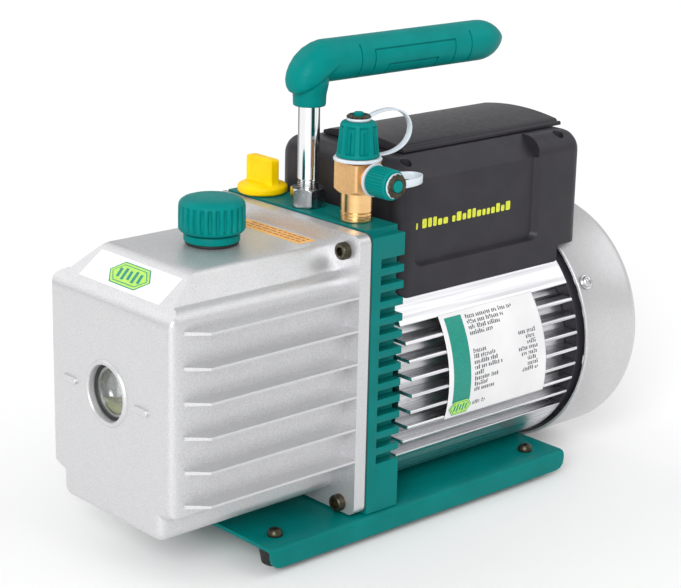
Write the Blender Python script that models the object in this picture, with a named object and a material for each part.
"""Rotary vane vacuum pump, built as the assembly of its separate pieces.

Metres, +Z up.  +X runs along the motor shaft from the oil case to the fan cover, Y = 0 is the plane
through the shaft, and Z = 0 is the floor under the rubber feet.
"""

from math import asin, cos, pi, sin, sqrt

import bmesh
import bpy
from mathutils import Matrix, Vector

# ---- driving dimensions ---------------------------------------------------------------------------
GAP = 0.0003  # clearance that touching pieces keep
WELD = 0.000004  # points nearer than this are one point
BIG, ROUND, SMALL = 48, 32, 20  # sides of large, medium and small round pieces

AXIS_Z = 0.0799  # height of the motor shaft above the floor

BASE_HALF_X, BASE_HALF_Y = 0.1138, 0.0664
BASE_TOP, BASE_BOTTOM, BASE_THICK = 0.0152, 0.0037, 0.0022
FOOT_X, FOOT_Y, FOOT_SCREW_HOLE_R = (-0.0998, 0.0947), 0.0520, 0.0026

FLANGE_X0, FLANGE_X1 = -0.0533, -0.0457
FLANGE_HALF_Y, FLANGE_Z0, FLANGE_Z1 = 0.0630, 0.0164, 0.1735
CASE_FRONT_X, CASE_WALL = -0.1693, 0.0040
CASE_HALF_Y, SUMP_HALF_Y = 0.0532, 0.0437
CASE_Z0, CASE_STEP_Z, CASE_SHOULDER_Z, CASE_TOP = 0.0262, 0.0420, 0.1508, 0.1650
LABEL_SLOPE_X, LABEL_SLOPE_Z = (-0.1428, -0.1700), (0.1650, 0.1451)
FIN_COUNT, FIN_TOP_Z, FIN_PITCH, FIN_THICK = 6, 0.1414, 0.0184, 0.0028
CASE_SCREW_Y, CASE_SCREW_Z, CASE_SCREW_HOLE_R = 0.0518, (0.0219, 0.1642), 0.0029
CASE_NOSE_R, FLANGE_CORNER_R, FILLER_HOLE_R = 0.0046, 0.0040, 0.0124

GASKET_X0, GASKET_X1 = FLANGE_X1 + GAP, FLANGE_X1 + GAP + 0.0005

HOUSING_X0, HOUSING_X1 = GASKET_X1 + GAP, -0.0216
HOUSING_HALF_Y, HOUSING_BOTTOM, HOUSING_TOP = 0.0635, 0.0155, 0.1745
LOUVRE_X0, LOUVRE_DEPTH = -0.0383, 0.0060
LOUVRE_COUNT, LOUVRE_TOP_Z, LOUVRE_PITCH, LOUVRE_THICK = 12, 0.1540, 0.0092, 0.0042

SIGHT_Y, SIGHT_Z, SIGHT_BEZEL_R, SIGHT_OPEN_R = 0.0015, 0.0955, 0.0185, 0.0141
OIL_CAP_X, OIL_CAP_R, OIL_CAP_RIBS, OIL_CAP_RIB_DEPTH = -0.1017, 0.0178, 26, 0.0010

FITTING_X = -0.0333  # the line of fittings along the housing's top
KNOB_Y, POST_Y, INLET_Y = 0.0408, 0.0020, -0.0375
POST_R, POST_TOP = 0.0060, 0.2490
GRIP_Z, GRIP_R, GRIP_TAPER_X, GRIP_END_X, GRIP_COLLAR_Z = 0.2536, 0.0117, 0.0900, 0.1160, 0.2303
SIDE_PORT_Z = 0.1988

MOTOR_X0, MOTOR_X1, MOTOR_R, MOTOR_BORE_R = -0.0188, 0.1187, 0.0700, 0.0560
MOTOR_FIN_PITCH, MOTOR_FIN_THICK, MOTOR_CORE_R = 0.0095, 0.0022, 0.0600
COVER_X0, COVER_X1, COVER_R, COVER_WALL = 0.1201, 0.1707, 0.0730, 0.0012
COVER_SCREW_X, COVER_SCREW_DEG = 0.1275, (150, 30, 270)

BOX_X0, BOX_X1, BOX_HALF_Y = -0.0133, 0.1337, 0.0505
BOX_BOTTOM, BOX_TOP, BOX_WALL, BOX_CORNER_R = 0.1290, 0.2045, 0.0025, 0.0115
NOTCH_X, SKIRT_Z = 0.1150, 0.1383  # where the box steps up over the fan cover
PANEL_X, PANEL_Z, PANEL_DEPTH = (0.0020, 0.0947), 0.1447, 0.0025  # recess between the end pillars
SHOULDER_Y, SHOULDER_Z = 0.0350, 0.1930  # where the recess leans in towards the lid
LID_X0, LID_X1, LID_HALF_Y, LID_TOP = 0.0047, 0.1325, 0.0330, 0.2108
REAR_INLET_Y, REAR_SWITCH_Y, REAR_PANEL_Z = -0.0180, 0.0240, 0.1800

SHAFT_R, STUB_R = 0.0060, 0.0045
STATOR_X0, STATOR_X1, ROTOR_R, POLE_COUNT = 0.0170, 0.0790, 0.0325, 8
FAN_X0, FAN_X1, FAN_R, FAN_BLADES, VENT_COUNT = 0.1260, 0.1450, 0.0600, 8, 16
PUMP_X0, PUMP_X1, PUMP_R = -0.1010, -0.0460, 0.0300
PUMP_ROTOR_R, PUMP_BORE_R, PUMP_ECCENTRIC = 0.0160, 0.0190, 0.0026


# ---- modelling helpers ----------------------------------------------------------------------------
def clear_scene():
    """Start from nothing."""
    for old in list(bpy.data.objects):
        bpy.data.objects.remove(old, do_unlink=True)


def material(name, colour, roughness, metallic=0.0, transmission=0.0):
    """One Principled material for one sub-part."""
    made = bpy.data.materials.new(name)
    made.use_nodes = True
    shader = made.node_tree.nodes["Principled BSDF"]
    shader.inputs["Base Color"].default_value = (*colour, 1.0)
    shader.inputs["Roughness"].default_value = roughness
    shader.inputs["Metallic"].default_value = metallic
    shader.inputs["Transmission Weight"].default_value = transmission
    return made


def finish(name, mesh_data, at=(0.0, 0.0, 0.0)):
    """Close a bmesh into a named, smooth-shaded object placed at its own origin."""
    bmesh.ops.remove_doubles(mesh_data, verts=mesh_data.verts, dist=1e-7)
    bmesh.ops.recalc_face_normals(mesh_data, faces=mesh_data.faces)
    mesh = bpy.data.meshes.new(name)
    mesh_data.to_mesh(mesh)
    mesh_data.free()
    mesh.shade_smooth()
    mesh.set_sharp_from_angle(angle=0.6)
    made = bpy.data.objects.new(name, mesh)
    made.location = at
    bpy.context.scene.collection.objects.link(made)
    return made


AXES = {
    "X": Matrix(((0, 0, 1), (1, 0, 0), (0, 1, 0))),
    "Y": Matrix(((0, 1, 0), (0, 0, 1), (1, 0, 0))),
    "Z": Matrix.Identity(3),
}


def lathe(name, profile, at=(0.0, 0.0, 0.0), axis="Z", sides=ROUND):
    """Turn a closed outline of (radius, height) points about an axis through the piece's origin."""
    shape = bmesh.new()
    turn = AXES[axis]
    rings = []
    for radius, height in profile:
        if radius < 1e-6:
            rings.append([shape.verts.new(turn @ Vector((0.0, 0.0, height)))])
            continue
        angles = [2 * pi * i / sides for i in range(sides)]
        points = [Vector((radius * cos(a), radius * sin(a), height)) for a in angles]
        rings.append([shape.verts.new(turn @ point) for point in points])
    for low, high in zip(rings, rings[1:] + rings[:1]):
        for i in range(sides):
            j = (i + 1) % sides
            corners = [low[i % len(low)], low[j % len(low)], high[j % len(high)], high[i % len(high)]]
            corners = list(dict.fromkeys(corners))
            if len(corners) > 2:
                shape.faces.new(corners)
    return finish(name, shape, at)


def tube(name, inner, outer, low, high, at=(0.0, 0.0, 0.0), axis="Z", sides=ROUND):
    """A plain round sleeve, or a plain rod where the inner radius is nothing."""
    return lathe(name, [(inner, low), (outer, low), (outer, high), (inner, high)], at, axis, sides)


def rounded(corners, radius, steps=3):
    """Replace each corner of a closed outline by an arc; a radius per corner, or one for all."""
    radii = radius if isinstance(radius, (list, tuple)) else [radius] * len(corners)
    outline = []
    for i, corner in enumerate(corners):
        here = Vector(corner)
        before = (Vector(corners[i - 1]) - here).normalized()
        after = (Vector(corners[(i + 1) % len(corners)]) - here).normalized()
        if radii[i] <= 0:
            outline.append(tuple(here))
            continue
        half = before.angle(after) / 2
        bisector = (before + after).normalized()
        centre = here + bisector * (radii[i] / sin(half))
        reach = radii[i] * cos(half) / sin(half)
        start = here + before * reach - centre
        sweep = start.angle_signed(here + after * reach - centre)
        for k in range(steps + 1):
            turn = Matrix.Rotation(-sweep * k / steps, 2)
            outline.append(tuple(centre + turn @ start))
    return outline


def prism(name, outline, low, high, axis="Z", at=(0.0, 0.0, 0.0)):
    """Extrude a closed outline between two heights; it is drawn as YZ, XZ or XY for axis X, Y or Z."""
    place = {
        "X": lambda u, v, h: (h, u, v),
        "Y": lambda u, v, h: (u, h, v),
        "Z": lambda u, v, h: (u, v, h),
    }[axis]
    shape = bmesh.new()
    bottom = [shape.verts.new(place(u, v, low)) for u, v in outline]
    top = [shape.verts.new(place(u, v, high)) for u, v in outline]
    shape.faces.new(bottom)
    shape.faces.new(top)
    for i, vert in enumerate(bottom):
        j = (i + 1) % len(bottom)
        shape.faces.new((vert, bottom[j], top[j], top[i]))
    return finish(name, shape, at)


def loft(name, sections):
    """Skin outlines of the same number of (y, z) points, each at its own x."""
    shape = bmesh.new()
    rings = [[shape.verts.new((x, y, z)) for y, z in outline] for x, outline in sections]
    for low, high in zip(rings, rings[1:]):
        for i, vert in enumerate(low):
            j = (i + 1) % len(low)
            shape.faces.new((vert, low[j], high[j], high[i]))
    shape.faces.new(rings[0])
    shape.faces.new(rings[-1])
    return finish(name, shape)


def rectangle(u0, u1, v0, v1):
    return [(u0, v0), (u1, v0), (u1, v1), (u0, v1)]


def block(name, low, high):
    """A box between two corners."""
    return prism(name, rectangle(low[0], high[0], low[1], high[1]), low[2], high[2])


def weld(mesh):
    """Merge the hair-width slivers that a Boolean can leave."""
    shape = bmesh.new()
    shape.from_mesh(mesh)
    bmesh.ops.remove_doubles(shape, verts=shape.verts, dist=WELD)
    shape.to_mesh(mesh)
    shape.free()


def combine(target, operation, *tools):
    """Apply a Boolean of several tools to the target, and remove the tools."""
    for tool in tools:
        step = target.modifiers.new(operation, "BOOLEAN")
        step.operation = operation
        step.solver = "EXACT"
        step.object = tool
    bpy.context.view_layer.update()
    view = bpy.context.evaluated_depsgraph_get()
    result = bpy.data.meshes.new_from_object(target.evaluated_get(view))
    target.modifiers.clear()
    target.data = result
    result.name = target.name
    for tool in tools:
        bpy.data.objects.remove(tool, do_unlink=True)
    weld(result)
    result.shade_smooth()
    result.set_sharp_from_angle(angle=0.6)
    return target


def cut(target, *tools):
    return combine(target, "DIFFERENCE", *tools)


def join(target, *tools):
    return combine(target, "UNION", *tools)


def soften(target, chosen, width, segments=2):
    """Round the edges for which chosen(edge) holds."""
    shape = bmesh.new()
    shape.from_mesh(target.data)
    edges = [edge for edge in shape.edges if chosen(edge)]
    bmesh.ops.bevel(shape, geom=edges, offset=width, segments=segments, profile=0.5, affect="EDGES")
    shape.to_mesh(target.data)
    shape.free()
    return target


def is_sharp(edge, limit=0.8):
    return len(edge.link_faces) == 2 and edge.calc_face_angle(0.0) > limit


def spans_end(edge):
    """Edges that lie in a plane across X."""
    return abs(edge.verts[0].co.x - edge.verts[1].co.x) < 1e-6


def paint(finish_material, *pieces):
    """Give pieces their material."""
    for piece in pieces:
        piece.data.materials.clear()
        piece.data.materials.append(finish_material)
    return pieces


def hang(name, at, *pieces):
    """Parent pieces to an empty on their joint's axis."""
    empty = bpy.data.objects.new(name, None)
    empty.location = at
    bpy.context.scene.collection.objects.link(empty)
    bpy.context.view_layer.update()
    for piece in pieces:
        piece.parent = empty
        piece.matrix_parent_inverse = empty.matrix_world.inverted()


# ---- base -----------------------------------------------------------------------------------------
def make_base(paint_green, black, steel):
    """Folded steel channel on four rubber feet."""
    inner_y, inner_z = BASE_HALF_Y - BASE_THICK, BASE_TOP - BASE_THICK
    channel = [
        (-BASE_HALF_Y, BASE_BOTTOM), (-BASE_HALF_Y, BASE_TOP), (BASE_HALF_Y, BASE_TOP),
        (BASE_HALF_Y, BASE_BOTTOM), (inner_y, BASE_BOTTOM), (inner_y, inner_z),
        (-inner_y, inner_z), (-inner_y, BASE_BOTTOM),
    ]
    bends = [0, 0.003, 0.003, 0, 0, 0.001, 0.001, 0]
    plate = prism("base_plate", rounded(channel, bends), -BASE_HALF_X, BASE_HALF_X, "X")
    side = rectangle(-BASE_HALF_X, BASE_HALF_X, BASE_BOTTOM, BASE_TOP + 0.01)
    combine(plate, "INTERSECT", prism("side", rounded(side, [0.006, 0.006, 0, 0]), -0.1, 0.1, "Y"))
    places = [(x, side * FOOT_Y) for x in FOOT_X for side in (-1, 1)]
    cut(plate, *[tube("hole", 0, FOOT_SCREW_HOLE_R, 0.010, 0.020, (x, y, 0), sides=SMALL)
                 for x, y in places])
    paint(paint_green, plate)
    for number, (x, y) in enumerate(places, 1):
        top = inner_z - GAP
        sole = [(0, 0), (0.0070, 0), (0.0095, top), (0.0023, top), (0.0023, 0.0040), (0, 0.0040)]
        paint(black, lathe(f"rubber_foot_{number}", sole, (x, y, 0), sides=SMALL))
        seat = BASE_TOP + GAP
        screw = [(0, 0.0050), (0.0019, 0.0050), (0.0019, seat), (0.0041, seat), (0.0041, seat + 0.0026),
                 (0.0030, seat + 0.0036), (0, seat + 0.0036)]
        paint(steel, lathe(f"foot_screw_{number}", screw, (x, y, 0), sides=16))


# ---- oil case -------------------------------------------------------------------------------------
def case_outline(inset=0.0):
    """Cross-section of the oil case: narrow sump, straight walls, shoulder and sloping crown."""
    wall, sump, crown = CASE_HALF_Y - inset, SUMP_HALF_Y - inset, 0.0370 - inset * 0.6
    half = [
        (sump, CASE_Z0 + inset), (sump, CASE_STEP_Z - 0.0030 + inset), (wall, CASE_STEP_Z + inset),
        (wall, CASE_SHOULDER_Z - inset), (0.0452 - inset, CASE_SHOULDER_Z + 0.0004 - inset),
        (crown, CASE_TOP - inset),
    ]
    bends = [max(r - inset, 0.0006) for r in (0.0060, 0.0010, 0.0030, 0.0070, 0.0008, 0.0040)]
    mirrored = [(-y, z) for y, z in reversed(half)]
    return rounded(half + mirrored, bends + bends[::-1])


def label_wedge(drop):
    """What the sloping label face and the rounded nose below it take off the case."""
    (x_top, x_low), (z_top, z_low) = LABEL_SLOPE_X, LABEL_SLOPE_Z
    nose = [(x_top, z_top), (x_low + 0.0050, z_low + 0.0037), (x_low + 0.0018, z_low + 0.0004),
            (x_low + 0.0006, z_low - 0.0030), (x_low, z_low - 0.0030), (x_low - 0.01, z_top + 0.02),
            (x_top, z_top + 0.02)]
    return prism("wedge", [(x + drop * 0.5, z - drop) for x, z in nose], -0.08, 0.08, "Y")


def case_shell():
    """The outer form of the case with its rounded front edges and its sloping label face."""
    steps = [pi / 2 * i / 4 for i in range(5)]
    sections = [(CASE_FRONT_X + CASE_NOSE_R * (1 - sin(a)), case_outline(CASE_NOSE_R * (1 - cos(a))))
                for a in steps]
    hull = loft("oil_case", sections[::-1] + [(FLANGE_X1 - 0.003, case_outline())])
    return cut(hull, label_wedge(0.0))


def case_fin(side, top):
    """One cooling fin, its front tip cut back."""
    wall, tip = CASE_HALF_Y - 0.002, FLANGE_HALF_Y
    outline = [(-0.1625, wall), (-0.1514, tip), (FLANGE_X0 + 0.002, tip), (FLANGE_X0 + 0.002, wall)]
    outline = [(x, side * y) for x, y in outline]
    return prism("fin", outline, top - FIN_THICK, top)


def make_case(cast):
    """Oil case with its flange, fins, sight-glass seat, filler hole and screw holes, hollow inside."""
    case = case_shell()
    flange = rectangle(-FLANGE_HALF_Y, FLANGE_HALF_Y, FLANGE_Z0, FLANGE_Z1)
    join(case, prism("flange", rounded(flange, FLANGE_CORNER_R), FLANGE_X0, FLANGE_X1, "X"))
    for row in range(FIN_COUNT):
        join(case, *[case_fin(side, FIN_TOP_Z - row * FIN_PITCH) for side in (-1, 1)])
    cavity = prism("cavity", case_outline(CASE_WALL), CASE_FRONT_X + 0.0045, FLANGE_X1 + 0.01, "X")
    cut(cavity, label_wedge(CASE_WALL))
    cut(case, cavity)
    sight = (0, SIGHT_Y, SIGHT_Z)
    join(case, tube("boss", 0, 0.0215, CASE_FRONT_X + 0.002, -0.1585, sight, "X", ROUND))
    bore = [(0, -0.1720), (0.0188, -0.1720), (0.0188, -0.1660), (0.0153, -0.1660), (0.0153, -0.1622),
            (0.0122, -0.1622), (0.0122, -0.1500), (0, -0.1500)]
    filler = tube("filler", 0, FILLER_HOLE_R, 0.150, 0.170, (OIL_CAP_X, 0, 0), sides=ROUND)
    holes = [tube("hole", 0, CASE_SCREW_HOLE_R, -0.06, -0.04, (0, y, z), "X", 16)
             for y in (-CASE_SCREW_Y, CASE_SCREW_Y) for z in CASE_SCREW_Z]
    cut(case, lathe("bore", bore, sight, "X"), filler, *holes)
    paint(cast, case)


def make_case_fittings(glass, cast, rubber, oxide, gasket_paper):
    """Gasket, flange screws, and the sight glass held by its ring."""
    frame = rounded(rectangle(-FLANGE_HALF_Y, FLANGE_HALF_Y, FLANGE_Z0, FLANGE_Z1), FLANGE_CORNER_R)
    gasket = prism("case_gasket", frame, GASKET_X0, GASKET_X1, "X")
    holes = [tube("hole", 0, CASE_SCREW_HOLE_R, -0.06, -0.04, (0, y, z), "X", 12)
             for y in (-CASE_SCREW_Y, CASE_SCREW_Y) for z in CASE_SCREW_Z]
    cut(gasket, prism("opening", case_outline(CASE_WALL), -0.06, -0.04, "X"), *holes)
    paint(gasket_paper, gasket)
    head, shank = FLANGE_X0 - GAP, HOUSING_X0 + 0.0100
    places = [(y, z) for z in CASE_SCREW_Z for y in (-CASE_SCREW_Y, CASE_SCREW_Y)]
    for number, (y, z) in enumerate(places, 1):
        profile = [(0, head - 0.0043), (0.0043, head - 0.0043), (0.0047, head - 0.0039), (0.0047, head),
                   (0.0020, head), (0.0020, shank), (0, shank)]
        screw = lathe(f"case_screw_{number}", profile, (0, y, z), "X", 16)
        cut(screw, tube("socket", 0, 0.0026, head - 0.006, head - 0.0018, (0, y, z), "X", 6))
        paint(oxide, screw)
    sight = (0, SIGHT_Y, SIGHT_Z)
    ring = [(SIGHT_OPEN_R, -0.1663), (SIGHT_BEZEL_R, -0.1663), (SIGHT_BEZEL_R, -0.1699),
            (SIGHT_BEZEL_R - 0.0012, -0.1707), (SIGHT_OPEN_R + 0.0008, -0.1707), (SIGHT_OPEN_R, -0.1700)]
    paint(cast, lathe("sight_glass_ring", ring, sight, "X", ROUND))
    paint(glass, tube("sight_glass", 0, 0.0150, -0.1658, -0.1636, sight, "X", ROUND))
    paint(rubber, tube("sight_glass_seal", 0.0124, 0.0149, -0.1633, -0.1625, sight, "X", ROUND))


def make_oil_cap(plastic, rubber):
    """Ribbed filler cap with its threaded spigot, and the O-ring under its collar."""
    low, valley = CASE_TOP + 0.0021, OIL_CAP_R - OIL_CAP_RIB_DEPTH
    star = []
    for i in range(OIL_CAP_RIBS):
        for share, radius in ((0.0, valley), (0.25, OIL_CAP_R), (0.62, OIL_CAP_R), (0.87, valley)):
            angle = 2 * pi * (i + share) / OIL_CAP_RIBS
            star.append((radius * cos(angle), radius * sin(angle)))
    cap = prism("oil_cap", star, 0.1730, 0.1872, at=(OIL_CAP_X, 0, 0))
    collar = [(0, low), (0.0149, low), (0.0149, 0.1708), (0.0137, 0.1712), (0.0137, 0.1722),
              (OIL_CAP_R, 0.1726), (OIL_CAP_R, 0.1740), (0, 0.1740)]
    dome = [(0, 0.1868), (OIL_CAP_R, 0.1868), (OIL_CAP_R - 0.0006, 0.1884), (OIL_CAP_R - 0.0022, 0.1896),
            (OIL_CAP_R - 0.0045, 0.1902), (0, 0.1904)]
    spigot = tube("spigot", 0.0085, 0.0116, 0.1560, low + 0.001, (OIL_CAP_X, 0, 0))
    join(cap, lathe("collar", collar, (OIL_CAP_X, 0, 0)), lathe("dome", dome, (OIL_CAP_X, 0, 0)), spigot)
    seal = [(0.0121, CASE_TOP + GAP), (0.0139, CASE_TOP + GAP), (0.0144, CASE_TOP + 0.0010),
            (0.0139, low - GAP), (0.0121, low - GAP)]
    ring = lathe("oil_cap_seal", seal, (OIL_CAP_X, 0, 0))
    paint(plastic, cap)
    paint(rubber, ring)
    hang("oil_cap_axis", (OIL_CAP_X, 0, CASE_TOP), cap, ring)


# ---- pump housing and what stands on it -----------------------------------------------------------
def louvre_comb():
    """Side view of the housing: a solid front strip with cooling louvres behind it."""
    first_bottom = LOUVRE_TOP_Z + LOUVRE_PITCH - LOUVRE_THICK
    outline = [(HOUSING_X0, HOUSING_BOTTOM), (HOUSING_X0, HOUSING_TOP - 0.003),
               (HOUSING_X1, HOUSING_TOP - 0.003), (HOUSING_X1, first_bottom),
               (LOUVRE_X0, first_bottom)]
    for i in range(LOUVRE_COUNT):
        top = LOUVRE_TOP_Z - i * LOUVRE_PITCH
        outline += [(LOUVRE_X0, top), (HOUSING_X1, top), (HOUSING_X1, top - LOUVRE_THICK),
                    (LOUVRE_X0, top - LOUVRE_THICK)]
    last = LOUVRE_TOP_Z - LOUVRE_COUNT * LOUVRE_PITCH
    outline += [(LOUVRE_X0, last), (HOUSING_X1, last), (HOUSING_X1, HOUSING_BOTTOM)]
    return outline


def make_housing(paint_green):
    """Cast housing between the oil case and the motor, bored for the shaft and everything on top."""
    core_y = HOUSING_HALF_Y - LOUVRE_DEPTH
    core = rectangle(-core_y, core_y, HOUSING_BOTTOM, HOUSING_TOP)
    housing = prism("pump_housing", core, HOUSING_X0, HOUSING_X1, "X")
    comb = louvre_comb()
    join(housing, prism("comb", comb, -HOUSING_HALF_Y, -core_y + 0.002, "Y"),
         prism("comb", comb, core_y - 0.002, HOUSING_HALF_Y, "Y"))
    shaft = (0, 0, AXIS_Z)
    bore = [(0, -0.060), (0.0150, -0.060), (0.0150, -0.0324), (0.0178, -0.0324), (0.0178, -0.010),
            (0, -0.010)]
    pockets = [
        tube("inlet", 0, 0.0080, 0.1640, 0.180, (FITTING_X, INLET_Y, 0), sides=SMALL),
        tube("post", 0, 0.0060, 0.1600, 0.180, (FITTING_X, POST_Y, 0), sides=SMALL),
        tube("ballast", 0, 0.0053, 0.1610, 0.180, (FITTING_X, KNOB_Y, 0), sides=SMALL),
    ]
    threads = [tube("thread", 0, 0.0024, -0.060, HOUSING_X0 + 0.0120, (0, y, z), "X", 12)
               for y in (-CASE_SCREW_Y, CASE_SCREW_Y) for z in CASE_SCREW_Z]
    cut(housing, lathe("bore", bore, shaft, "X"), *pockets, *threads)
    paint(paint_green, housing)


def make_ballast(yellow, brass):
    """Gas-ballast knob with its wing, and the threaded stem that it lifts."""
    at = (FITTING_X, KNOB_Y, 0)
    low = HOUSING_TOP + GAP
    disc = [(0.0053, low), (0.0137, low), (0.0141, low + 0.0006), (0.0141, low + 0.0040),
            (0.0133, low + 0.0048), (0.0020, low + 0.0048), (0.0020, low + 0.0035), (0.0053, low + 0.0035)]
    knob = lathe("ballast_knob", disc, at)
    wing = rounded(rectangle(-0.0112, 0.0112, low + 0.0042, 0.1945), [0, 0, 0.0016, 0.0016], 2)
    blade = prism("wing", wing, -0.0027, 0.0027, "X", at)
    cut(blade, tube("pin_hole", 0, 0.0020, 0.170, 0.1865, at, sides=12))
    join(knob, blade)
    stem = [(0, 0.1640), (0.0030, 0.1640), (0.0048, 0.1660), (0.0048, 0.1755), (0.0017, 0.1755),
            (0.0017, 0.1835), (0, 0.1835)]
    paint(yellow, knob)
    rod = lathe("ballast_stem", stem, at, sides=SMALL)
    paint(brass, rod)
    hang("ballast_axis", (FITTING_X, KNOB_Y, HOUSING_TOP), knob, rod)


def make_handle(chrome, grip_plastic):
    """Chromed post screwed into the housing, its lock nut, and the moulded grip."""
    at = (FITTING_X, POST_Y, 0)
    post = [(0, 0.1620), (0.0054, 0.1620), (0.0054, 0.1880), (POST_R, 0.1892), (POST_R, POST_TOP),
            (0, POST_TOP)]
    paint(chrome, lathe("handle_post", post, at))
    seat, top = HOUSING_TOP + GAP, 0.1850
    nut = lathe("handle_nut", [(0, seat), (0.0102, seat), (0.0102, top), (0, top)], at, sides=6)
    cut(nut, tube("thread", 0, 0.0058, 0.170, 0.190, at))
    paint(chrome, nut)
    paint(grip_plastic, grip_body())


def grip_body():
    """Level hand grip whose front end turns down over the post."""
    heel, shoulder, tip = FITTING_X - 0.0090, FITTING_X + 0.0060, 0.0070
    bend = shoulder - heel
    bar = [(0, heel)]
    bar += [(GRIP_R * sin(pi / 8 * i), shoulder - bend * cos(pi / 8 * i)) for i in (1, 2, 3)]
    bar += [(GRIP_R, shoulder), (GRIP_R, GRIP_TAPER_X), (GRIP_R * 0.93, GRIP_TAPER_X + 0.0080)]
    bar += [(GRIP_R * 0.70 * cos(pi / 8 * i), GRIP_END_X - tip + tip * sin(pi / 8 * i)) for i in range(4)]
    bar += [(0, GRIP_END_X)]
    grip = lathe("handle_grip", bar, (0, POST_Y, GRIP_Z), "X")
    low = GRIP_COLLAR_Z
    collar = [(0, low), (0.0086, low), (0.0090, low + 0.0034), (0.0112, low + 0.0089),
              (0.0124, low + 0.0134), (0.0120, low + 0.0204), (0.0095, low + 0.0274), (0, low + 0.0304)]
    join(grip, lathe("collar", collar, (FITTING_X - 0.0006, POST_Y, 0)))
    return cut(grip, tube("socket", 0, POST_R + GAP, 0.2200, POST_TOP + GAP, (FITTING_X, POST_Y, 0)))


def make_inlet(brass):
    """Brass tee: threaded foot, square body, flare port on top and a smaller one towards -Y."""
    at = (FITTING_X, INLET_Y, 0)
    foot = [(0, 0.1650), (0.0076, 0.1650), (0.0076, 0.1760), (0.0087, 0.1765), (0.0087, 0.1925), (0, 0.1925)]
    tee = lathe("inlet_fitting", foot, at)
    body = block("body", (FITTING_X - 0.0090, INLET_Y - 0.0090, 0.1918),
                 (FITTING_X + 0.0090, INLET_Y + 0.0090, 0.2066))
    soften(body, is_sharp, 0.0010, 1)
    port = [(0, 0.2060), (0.0078, 0.2060), (0.0078, 0.2180), (0.0056, 0.2205), (0, 0.2205)]
    side = [(0, INLET_Y - 0.008), (0, INLET_Y - 0.0215), (0.0040, INLET_Y - 0.0215),
            (0.0056, INLET_Y - 0.0195), (0.0056, INLET_Y - 0.008)]
    side_at = (FITTING_X, 0, SIDE_PORT_Z)
    join(tee, body, lathe("port", port, at), lathe("side", side, side_at, "Y", SMALL))
    cut(tee, tube("bore", 0, 0.0038, 0.160, 0.230, at, sides=SMALL),
        tube("side_bore", 0, 0.0024, INLET_Y - 0.03, INLET_Y, side_at, "Y", 12))
    paint(brass, tee)


def strap_band(start, leave, arrive, end, thick, low, high, plane):
    """A moulded band along one cubic curve, in the XZ or XY plane."""
    count = 14
    centre = []
    for i in range(count + 1):
        t = i / count
        weights = ((1 - t) ** 3, 3 * t * (1 - t) ** 2, 3 * t * t * (1 - t), t**3)
        centre.append(sum((Vector(p) * w for p, w in zip((start, leave, arrive, end), weights)),
                          Vector((0, 0))))
    left, right = [], []
    for i, point in enumerate(centre):
        along = (centre[min(i + 1, count)] - centre[max(i - 1, 0)]).normalized()
        across = Vector((-along.y, along.x)) * thick / 2
        left.append(tuple(point + across))
        right.append(tuple(point - across))
    return prism("band", left + right[::-1], low, high, plane)


def make_large_cap(plastic, steel, strap):
    """Fluted cap on the top port, its push nut, and the strap that keeps it."""
    at = (FITTING_X, INLET_Y, 0)
    body = [(0.0081, 0.2096), (0.0115, 0.2096), (0.0115, 0.2112), (0.0110, 0.2116), (0.0097, 0.2265),
            (0.0087, 0.2282), (0.0052, 0.2284), (0.0027, 0.2284), (0.0027, 0.2330), (0, 0.2330),
            (0, 0.2225), (0.0081, 0.2225)]
    cap = lathe("large_cap", body, at)
    flutes = [tube("flute", 0, 0.0020, 0.2125, 0.2240,
                   (FITTING_X + 0.0122 * cos(a), INLET_Y + 0.0122 * sin(a), 0), sides=8)
              for a in (2 * pi * i / 8 for i in range(8))]
    cut(cap, *flutes)
    nut = [(0.0030, 0.2306), (0.0058, 0.2312), (0.0060, 0.2318), (0.0030, 0.2312)]
    clip = lathe("large_cap_clip", nut, at, sides=SMALL)
    collar = tube("large_cap_strap", 0.0081, 0.0125, 0.2081, 0.2093, at)
    eye = tube("eye", 0.0030, 0.0066, 0.2288, 0.2302, at)
    band = strap_band((FITTING_X + 0.0115, 0.2087), (0.0125, 0.2065), (0.0035, 0.2440),
                      (FITTING_X + 0.0055, 0.2295), 0.0011, INLET_Y - 0.0029, INLET_Y + 0.0029, "Y")
    join(collar, eye, band)
    paint(plastic, cap)
    paint(steel, clip)
    paint(strap, collar)
    hang("large_cap_axis", at, cap, clip, collar)


def make_small_cap(plastic, steel, strap):
    """Knurled cap on the side port, its push nut, and its strap."""
    at = (FITTING_X, 0, SIDE_PORT_Z)
    seat = INLET_Y - 0.0141
    body = [(0.0060, seat - GAP), (0.0082, seat - GAP), (0.0082, seat - 0.0135), (0.0074, seat - 0.0146),
            (0.0032, seat - 0.0146), (0.0032, seat - 0.0180), (0, seat - 0.0180), (0, seat - 0.0112),
            (0.0060, seat - 0.0112)]
    cap = lathe("small_cap", body, at, "Y")
    nut = [(0.0036, seat - 0.0164), (0.0062, seat - 0.0162), (0.0064, seat - 0.0168),
           (0.0036, seat - 0.0174)]
    clip = lathe("small_cap_clip", nut, at, "Y", SMALL)
    collar = tube("small_cap_strap", 0.0060, 0.0090, seat, seat + 0.0013, at, "Y")
    eye = tube("eye", 0.0036, 0.0068, seat - 0.0160, seat - 0.0149, at, "Y")
    band = strap_band((FITTING_X + 0.0080, seat + 0.0007), (-0.0035, seat + 0.0020),
                      (-0.0035, seat - 0.0175), (FITTING_X + 0.0058, seat - 0.0155), 0.0010,
                      SIDE_PORT_Z - 0.0022, SIDE_PORT_Z + 0.0022, "Z")
    join(collar, eye, band)
    paint(plastic, cap)
    paint(steel, clip)
    paint(strap, collar)
    hang("small_cap_axis", at, cap, clip, collar)


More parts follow.
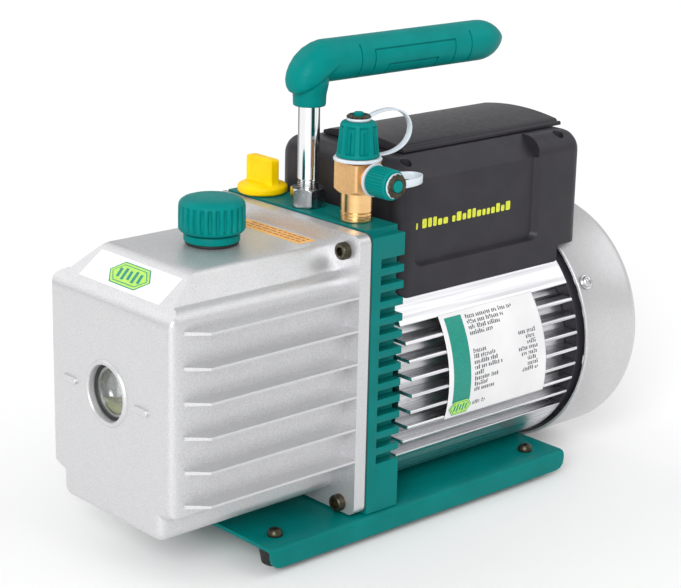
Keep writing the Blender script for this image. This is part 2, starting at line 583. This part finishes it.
# ---- motor ----------------------------------------------------------------------------------------
def motor_section():
    """Finned extrusion: the level fins of both sides end on one circle, and the foot is cut flat."""
    foot_z = BASE_TOP + GAP - AXIS_Z
    half_fin, rows = MOTOR_FIN_THICK / 2, 4

    def on_circle(radius, height):
        return sqrt(radius**2 - height**2)

    right = []
    start = asin(foot_z / MOTOR_R)
    low_edge = -rows * MOTOR_FIN_PITCH - half_fin
    for i in range(4):
        angle = start + (asin(low_edge / MOTOR_R) - start) * i / 4
        right.append((MOTOR_R * cos(angle), MOTOR_R * sin(angle)))
    for row in range(-rows, rows + 1):
        middle = row * MOTOR_FIN_PITCH
        low, high = middle - half_fin, middle + half_fin
        if row > -rows:
            right.append((on_circle(MOTOR_CORE_R, low), low))
        right += [(on_circle(MOTOR_R, low), low), (on_circle(MOTOR_R, high), high)]
        if row < rows:
            right.append((on_circle(MOTOR_CORE_R, high), high))
    top_edge = asin((rows * MOTOR_FIN_PITCH + half_fin) / MOTOR_R)
    for i in range(1, 8):
        angle = top_edge + (pi / 2 - top_edge) * i / 7
        right.append((MOTOR_R * cos(angle), MOTOR_R * sin(angle)))
    left = [(-y, z) for y, z in reversed(right) if y > 1e-6]
    return [(y, z + AXIS_Z) for y, z in right + left]


def make_motor_body(aluminium, dark):
    """Motor extrusion, and the end bell that carries the rear bearing."""
    body = prism("motor_body", motor_section(), MOTOR_X0, MOTOR_X1, "X")
    shaft = (0, 0, AXIS_Z)
    cut(body, tube("bore", 0, MOTOR_BORE_R, MOTOR_X0 - 0.01, MOTOR_X1 + 0.01, shaft, "X", BIG))
    paint(aluminium, body)
    front = MOTOR_X1 + GAP
    bell = [(0.0177, front - 0.0160), (0.0215, front - 0.0160), (0.0215, front), (0.0640, front),
            (0.0640, front + 0.0040), (0.0215, front + 0.0040), (0.0110, front + 0.0040),
            (0.0110, front - 0.0020), (0.0177, front - 0.0020)]
    paint(dark, lathe("rear_end_bell", bell, shaft, "X", BIG))


def make_fan_cover(painted, steel):
    """Drawn fan cover with a slotted rear face, and its three screws."""
    shaft = (0, 0, AXIS_Z)
    turn, inner = 0.0090, COVER_R - COVER_WALL
    arc = [pi / 2 * i / 4 for i in range(5)]
    outer_arc = [(COVER_R - turn + turn * cos(a), COVER_X1 - turn + turn * sin(a)) for a in arc]
    tight = turn - COVER_WALL
    inner_arc = [(inner - tight + tight * cos(a), COVER_X1 - turn + tight * sin(a)) for a in reversed(arc)]
    profile = [(inner, COVER_X0), (COVER_R, COVER_X0), *outer_arc, (0, COVER_X1),
               (0, COVER_X1 - COVER_WALL), *inner_arc]
    cover = lathe("fan_cover", profile, shaft, "X", BIG)
    slots = []
    for i in range(VENT_COUNT):
        slot = block("slot", (COVER_X1 - 0.006, -0.0022, 0.0200), (COVER_X1 + 0.004, 0.0022, 0.0520))
        slot.location = shaft
        slot.rotation_euler = (2 * pi * i / VENT_COUNT, 0, 0)
        slots.append(slot)
    holes, screws = [], []
    for number, degrees in enumerate(COVER_SCREW_DEG, 1):
        angle = degrees * pi / 180
        spot = (COVER_SCREW_X, 0, AXIS_Z)
        tilt = (angle - pi / 2, 0, 0)
        hole = tube("hole", 0, 0.0022, COVER_R - 0.006, COVER_R + 0.004, spot, sides=12)
        seat = COVER_R + GAP
        profile = [(0, COVER_R - 0.0022), (0.0018, COVER_R - 0.0022), (0.0018, seat), (0.0042, seat),
                   (0.0042, seat + 0.0006), (0.0034, seat + 0.0008), (0.0032, seat + 0.0020),
                   (0.0018, seat + 0.0028), (0, seat + 0.0029)]
        screw = lathe(f"cover_screw_{number}", profile, spot, sides=16)
        hole.rotation_euler = tilt
        screw.rotation_euler = tilt
        holes.append(hole)
        screws.append(screw)
    cut(cover, *slots, *holes)
    paint(painted, cover)
    paint(steel, *screws)


def make_electrics(lamination, copper, dark):
    """Stator core with its winding, and the run capacitor in the box above."""
    shaft = (0, 0, AXIS_Z)
    core = tube("stator_core", ROTOR_R + 0.0006, MOTOR_BORE_R - GAP, STATOR_X0, STATOR_X1, shaft, "X", BIG)
    bars, slots = [], []
    for i in range(POLE_COUNT):
        angle = 2 * pi * i / POLE_COUNT
        bar = block("bar", (STATOR_X0 - 0.010, -0.0035, 0.0385), (STATOR_X1 + 0.010, 0.0035, 0.0465))
        slot = block("slot", (STATOR_X0 - 0.020, -0.0040, 0.0300), (STATOR_X1 + 0.020, 0.0040, 0.0470))
        for piece in (bar, slot):
            piece.location = shaft
            piece.rotation_euler = (angle, 0, 0)
        bars.append(bar)
        slots.append(slot)
    cut(core, *slots)
    ring = [(0.0365, 0), (0.0495, 0), (0.0510, 0.0020), (0.0510, 0.0120), (0.0480, 0.0150),
            (0.0380, 0.0150), (0.0365, 0.0130)]
    front = lathe("stator_winding", [(r, STATOR_X0 - 0.0008 - h) for r, h in ring], shaft, "X", ROUND)
    rear = lathe("rear", [(r, STATOR_X1 + 0.0008 + h) for r, h in ring], shaft, "X", ROUND)
    join(front, rear, *bars)
    paint(lamination, core)
    paint(copper, front)
    can = [(0, 0.0180), (0.0150, 0.0180), (0.0160, 0.0190), (0.0160, 0.0880), (0.0150, 0.0900), (0, 0.0900)]
    paint(dark, lathe("capacitor", can, (0, 0.0050, 0.1760), "X", 24))


def make_shaft_line(steel, cast, plastic, rubber, bearing_steel):
    """Everything that turns with the shaft, with the bearings and the shaft seal that hold it."""
    shaft = (0, 0, AXIS_Z)
    spindle = tube("motor_shaft", 0, SHAFT_R, -0.0370, 0.1420, shaft, "X", 24)
    cage = tube("motor_rotor", SHAFT_R + 0.0002, ROTOR_R, STATOR_X0, STATOR_X1, shaft, "X", ROUND)
    coupling = tube("shaft_coupling", SHAFT_R + 0.0002, 0.0125, -0.0445, -0.0335, shaft, "X", 24)
    tube_front = [(SHAFT_R + 0.0003, 0), (0.0174, 0), (0.0174, 0.0100), (SHAFT_R + 0.0003, 0.0100)]
    front = lathe("front_bearing", [(r, x - 0.0320) for r, x in tube_front], shaft, "X", 24)
    rear_x = MOTOR_X1 - 0.0130
    rear = lathe("rear_bearing", [(r, x + rear_x) for r, x in tube_front], shaft, "X", 24)
    fan = make_fan(shaft)
    seal = tube("shaft_seal", SHAFT_R + 0.0003, 0.0112, -0.0520, -0.0470, shaft, "X", 24)
    paint(steel, spindle)
    paint(cast, cage, coupling)
    paint(bearing_steel, front, rear)
    paint(plastic, fan)
    paint(rubber, seal)
    return spindle, cage, coupling, fan


def make_fan(shaft):
    """Cooling fan: a hub, a back disc and flat radial blades."""
    fan = tube("cooling_fan", SHAFT_R + 0.0002, 0.0150, FAN_X0, FAN_X1, shaft, "X", 24)
    disc = tube("disc", 0.0120, FAN_R - 0.0040, FAN_X0, FAN_X0 + 0.0025, shaft, "X", ROUND)
    blades = []
    for i in range(FAN_BLADES):
        blade = block("blade", (FAN_X0 + 0.0010, -0.0010, 0.0130), (FAN_X1 - 0.0010, 0.0010, FAN_R))
        blade.location = shaft
        blade.rotation_euler = (2 * pi * i / FAN_BLADES, 0, 0)
        blades.append(blade)
    return join(fan, disc, *blades)


# ---- pump module inside the oil case --------------------------------------------------------------
def make_pump_module(cast, steel, carbon):
    """Cylinder block with its eccentric bore, end plate, rotor, two vanes and the exhaust reed."""
    shaft = (0, 0, AXIS_Z)
    cylinder = tube("pump_cylinder", 0, PUMP_R, PUMP_X0, PUMP_X1, shaft, "X", ROUND)
    flat_z = AXIS_Z + PUMP_R - 0.0030
    bore = tube("bore", 0, PUMP_BORE_R, PUMP_X0 - 0.01, -0.0560, (0, 0, AXIS_Z + PUMP_ECCENTRIC), "X", ROUND)
    seat = tube("seat", 0, 0.0115, -0.0523, -0.0300, shaft, "X", 24)
    throat = tube("throat", 0, SHAFT_R + 0.0003, -0.0600, -0.0500, shaft, "X", 24)
    flat = block("flat", (-0.0960, -0.0400, flat_z), (-0.0600, 0.0400, flat_z + 0.02))
    port = tube("port", 0, 0.0022, AXIS_Z + 0.0100, flat_z + 0.01, (-0.0850, 0, 0), sides=12)
    cut(cylinder, bore, seat, throat, flat, port)
    plate = tube("pump_end_plate", STUB_R + 0.0003, PUMP_R, PUMP_X0 - GAP - 0.0080, PUMP_X0 - GAP,
                 shaft, "X", ROUND)
    rotor_front, rotor_back = PUMP_X0 + 0.0003, -0.0563
    profile = [(0, rotor_front - 0.0080), (STUB_R, rotor_front - 0.0080), (STUB_R, rotor_front),
               (PUMP_ROTOR_R, rotor_front), (PUMP_ROTOR_R, rotor_back), (SHAFT_R, rotor_back),
               (SHAFT_R, -0.0373), (0, -0.0373)]
    rotor = lathe("pump_rotor", profile, shaft, "X", ROUND)
    half_slot = 0.0016
    for side in (-1, 1):
        low, high = sorted((side * 0.0048, side * 0.0200))
        slot = block("slot", (rotor_front - 0.0002, low, AXIS_Z - half_slot),
                     (rotor_back - 0.0030, high, AXIS_Z + half_slot))
        cut(rotor, slot)
    vanes = []
    for name, side in (("vane_front", -1), ("vane_rear", 1)):
        low, high = sorted((side * 0.0052, side * 0.0155))
        vanes.append(block(name, (rotor_front + 0.0002, low, AXIS_Z - half_slot + GAP),
                           (rotor_back - 0.0034, high, AXIS_Z + half_slot - GAP)))
    reed = block("exhaust_reed", (-0.0900, -0.0050, flat_z + GAP), (-0.0660, 0.0050, flat_z + GAP + 0.0005))
    hang("reed_axis", (-0.0662, 0, flat_z + GAP), reed)
    paint(cast, cylinder, plate)
    paint(steel, rotor, reed)
    paint(carbon, *vanes)
    return rotor, *vanes


# ---- electrical box -------------------------------------------------------------------------------
def box_outline(inset, low=BOX_BOTTOM):
    """Cross-section of the electrical box, its upper corners rounded."""
    half, corner = BOX_HALF_Y - inset, BOX_CORNER_R - inset
    return rounded(rectangle(-half, half, low, BOX_TOP - inset), [0, 0, corner, corner])


def box_hull(name, inset, turn, low=BOX_BOTTOM):
    """Rounded box over the motor; inset gives the hollow inside it."""
    ends = []
    for x, way in ((BOX_X0 + inset, 1), (BOX_X1 - inset, -1)):
        arc = [pi / 2 * i / 3 for i in range(4)]
        ends.append([(x + way * turn * (1 - sin(a)), box_outline(inset + turn * (1 - cos(a)), low))
                     for a in arc])
    return loft(name, ends[0][::-1] + ends[1])


def panel_recess(side):
    """What the recess takes off one side of the box between its end pillars, up to the lid."""
    (x0, x1), half, flank = PANEL_X, BOX_HALF_Y - PANEL_DEPTH, 0.0045
    far, reach = BOX_HALF_Y + 0.0025, flank * 2
    plan = [(x0, half), (x1, half), (x1 + reach, far), (x0 - reach, far)]
    lean = Vector((SHOULDER_Y - half, BOX_TOP - SHOULDER_Z))
    over = Vector((half, SHOULDER_Z)) + lean * 1.4
    shoulder = [(half, SHOULDER_Z), (far + 0.01, SHOULDER_Z), (far + 0.01, over.y), tuple(over)]
    recess = prism("recess", [(x, side * y) for x, y in plan], PANEL_Z, BOX_TOP + 0.01)
    slope = prism("slope", [(side * y, z) for y, z in shoulder], x0 - 0.0020, x1 + 0.0020, "X")
    return join(recess, slope)


def make_box(plastic):
    """Box shell, arched over the motor and the fan cover, open under its lid and at its rear cut-outs."""
    shaft = (0, 0, AXIS_Z)
    box = box_hull("terminal_box", 0.0, 0.0070)
    over_motor = tube("arch", 0, MOTOR_R + 0.0005, BOX_X0 - 0.01, BOX_X1 + 0.01, shaft, "X", BIG)
    over_cover = tube("notch", 0, COVER_R + 0.0008, NOTCH_X, BOX_X1 + 0.01, shaft, "X", BIG)
    skirt = block("skirt", (NOTCH_X, -0.07, 0.10), (BOX_X1 + 0.01, 0.07, SKIRT_Z))
    cut(box, over_motor, over_cover, skirt, panel_recess(-1), panel_recess(1))
    low, top, half = BOX_BOTTOM - 0.02, BOX_TOP - BOX_WALL, BOX_HALF_Y - PANEL_DEPTH - BOX_WALL
    section = [(-half, low), (half, low), (half, SHOULDER_Z - 0.0010), (SHOULDER_Y - 0.0008, top),
               (-SHOULDER_Y + 0.0008, top), (-half, SHOULDER_Z - 0.0010)]
    hollow = prism("hollow", section, BOX_X0 + BOX_WALL, BOX_X1 - BOX_WALL, "X")
    floor = tube("floor", 0, COVER_R + 0.0032, BOX_X0 - 0.01, BOX_X1 + 0.01, shaft, "X", BIG)
    side_floor = block("side_floor", (BOX_X0 - 0.01, -0.07, 0.10), (BOX_X1 + 0.01, 0.07, SKIRT_Z + 0.0029))
    cut(hollow, floor, side_floor)
    mouth = block("mouth", (LID_X0 + 0.004, -LID_HALF_Y + 0.004, BOX_TOP - 0.008),
                  (LID_X1 - 0.004, LID_HALF_Y - 0.004, BOX_TOP + 0.01))
    inlet = block("inlet", (BOX_X1 - 0.01, REAR_INLET_Y - 0.0139, REAR_PANEL_Z - 0.0103),
                  (BOX_X1 + 0.01, REAR_INLET_Y + 0.0139, REAR_PANEL_Z + 0.0103))
    switch = block("switch", (BOX_X1 - 0.01, REAR_SWITCH_Y - 0.0068, REAR_PANEL_Z - 0.0098),
                   (BOX_X1 + 0.01, REAR_SWITCH_Y + 0.0068, REAR_PANEL_Z + 0.0098))
    cut(box, hollow, mouth, inlet, switch)
    paint(plastic, box)


def make_lid(plastic):
    """Crowned lid over the box's mouth."""
    low, rise = BOX_TOP + GAP, 0.0030
    section = [(-LID_HALF_Y, low), (-LID_HALF_Y, low + 0.0030)]
    count = 8
    for i in range(count + 1):
        y = (LID_HALF_Y - 0.0010) * (2 * i / count - 1)
        section.append((y, LID_TOP - rise * (y / LID_HALF_Y) ** 2))
    section += [(LID_HALF_Y, low + 0.0030), (LID_HALF_Y, low)]
    lid = prism("terminal_box_lid", section, LID_X0, LID_X1, "X")
    soften(lid, lambda edge: is_sharp(edge) and spans_end(edge) and edge.verts[0].co.z > low + 0.001
           and edge.verts[1].co.z > low + 0.001, 0.0015, 2)
    paint(plastic, lid)


def make_rear_panel(plastic, rocker_plastic):
    """Appliance inlet and rocker switch in the box's rear wall."""
    outside = BOX_X1 + GAP
    inlet = block("power_inlet", (BOX_X1 - 0.0200, REAR_INLET_Y - 0.0136, REAR_PANEL_Z - 0.0100),
                  (outside, REAR_INLET_Y + 0.0136, REAR_PANEL_Z + 0.0100))
    frame = rounded(rectangle(REAR_INLET_Y - 0.0160, REAR_INLET_Y + 0.0160,
                              REAR_PANEL_Z - 0.0122, REAR_PANEL_Z + 0.0122), 0.0020, 2)
    join(inlet, prism("flange", frame, outside, outside + 0.0020, "X"))
    well = [(REAR_INLET_Y - 0.0115, REAR_PANEL_Z - 0.0075), (REAR_INLET_Y + 0.0115, REAR_PANEL_Z - 0.0075),
            (REAR_INLET_Y + 0.0115, REAR_PANEL_Z + 0.0045), (REAR_INLET_Y + 0.0080, REAR_PANEL_Z + 0.0078),
            (REAR_INLET_Y - 0.0080, REAR_PANEL_Z + 0.0078), (REAR_INLET_Y - 0.0115, REAR_PANEL_Z + 0.0045)]
    cut(inlet, prism("well", well, BOX_X1 - 0.0160, outside + 0.01, "X"))
    paint(plastic, inlet)
    housing = block("switch_frame", (BOX_X1 - 0.0180, REAR_SWITCH_Y - 0.0065, REAR_PANEL_Z - 0.0095),
                    (outside, REAR_SWITCH_Y + 0.0065, REAR_PANEL_Z + 0.0095))
    rim = rounded(rectangle(REAR_SWITCH_Y - 0.0078, REAR_SWITCH_Y + 0.0078,
                            REAR_PANEL_Z - 0.0108, REAR_PANEL_Z + 0.0108), 0.0010, 2)
    join(housing, prism("rim", rim, outside, outside + 0.0018, "X"))
    cut(housing, block("well", (BOX_X1 - 0.0150, REAR_SWITCH_Y - 0.0056, REAR_PANEL_Z - 0.0088),
                       (outside + 0.01, REAR_SWITCH_Y + 0.0056, REAR_PANEL_Z + 0.0088)))
    paint(plastic, housing)
    paint(rocker_plastic, make_rocker())


def make_rocker():
    """Rocker that pivots about Y inside the switch, stored with its lower half pressed in."""
    pivot = (BOX_X1 - 0.0035, REAR_SWITCH_Y, REAR_PANEL_Z)
    face = [(-0.0050, -0.0070), (0.0035, -0.0078), (0.0040, 0.0), (0.0035, 0.0078), (-0.0050, 0.0070)]
    tilt = Matrix.Rotation(0.20, 2)
    outline = [tuple(tilt @ Vector(point)) for point in face]
    return prism("switch_rocker", outline, -0.0052, 0.0052, "Y", pivot)


# ---- assembly -------------------------------------------------------------------------------------
def build():
    """Make every piece with its own finish."""
    clear_scene()
    green = (0.0, 0.29, 0.245)
    teal_paint = material("teal_paint", green, 0.38)
    teal_plastic = material("teal_plastic", green, 0.45)
    cast_silver = material("cast_silver", (0.62, 0.63, 0.64), 0.42, 0.6)
    painted_silver = material("painted_silver", (0.60, 0.61, 0.62), 0.35, 0.6)
    bright_aluminium = material("bright_aluminium", (0.80, 0.80, 0.82), 0.22, 1.0)
    charcoal = material("charcoal_plastic", (0.05, 0.048, 0.052), 0.45)
    rubber = material("black_rubber", (0.02, 0.02, 0.02), 0.75)
    oxide = material("black_oxide", (0.06, 0.055, 0.04), 0.40, 0.8)
    chrome = material("chrome", (0.85, 0.86, 0.88), 0.08, 1.0)
    zinc = material("zinc", (0.70, 0.70, 0.72), 0.30, 1.0)
    brass = material("brass", (0.78, 0.55, 0.27), 0.30, 1.0)
    glass = material("sight_glass", (0.9, 0.93, 0.9), 0.05, 0.0, 0.9)
    yellow = material("yellow_plastic", (0.98, 0.72, 0.0), 0.45)
    strap = material("clear_strap", (0.75, 0.80, 0.85), 0.35, 0.0, 0.5)
    cast_iron = material("cast_iron", (0.20, 0.20, 0.21), 0.55, 0.9)
    steel = material("machined_steel", (0.55, 0.55, 0.57), 0.28, 1.0)
    lamination = material("lamination_steel", (0.30, 0.30, 0.33), 0.45, 0.9)
    copper = material("copper_winding", (0.60, 0.25, 0.10), 0.40, 0.9)
    carbon = material("vane_composite", (0.12, 0.09, 0.06), 0.60)
    paper = material("gasket_paper", (0.05, 0.06, 0.05), 0.80)

    make_base(teal_paint, rubber, oxide)
    make_case(cast_silver)
    make_case_fittings(glass, cast_silver, rubber, oxide, paper)
    make_oil_cap(teal_plastic, rubber)
    make_housing(teal_paint)
    make_ballast(yellow, brass)
    make_handle(chrome, teal_plastic)
    make_inlet(brass)
    make_large_cap(teal_plastic, zinc, strap)
    make_small_cap(teal_plastic, zinc, strap)
    make_motor_body(bright_aluminium, charcoal)
    make_fan_cover(painted_silver, zinc)
    make_electrics(lamination, copper, charcoal)
    turning = make_shaft_line(steel, cast_iron, charcoal, rubber, zinc)
    turning += make_pump_module(cast_iron, steel, carbon)
    hang("shaft_axis", (0, 0, AXIS_Z), *turning)
    make_box(charcoal)
    make_lid(charcoal)
    make_rear_panel(charcoal, rubber)


build()
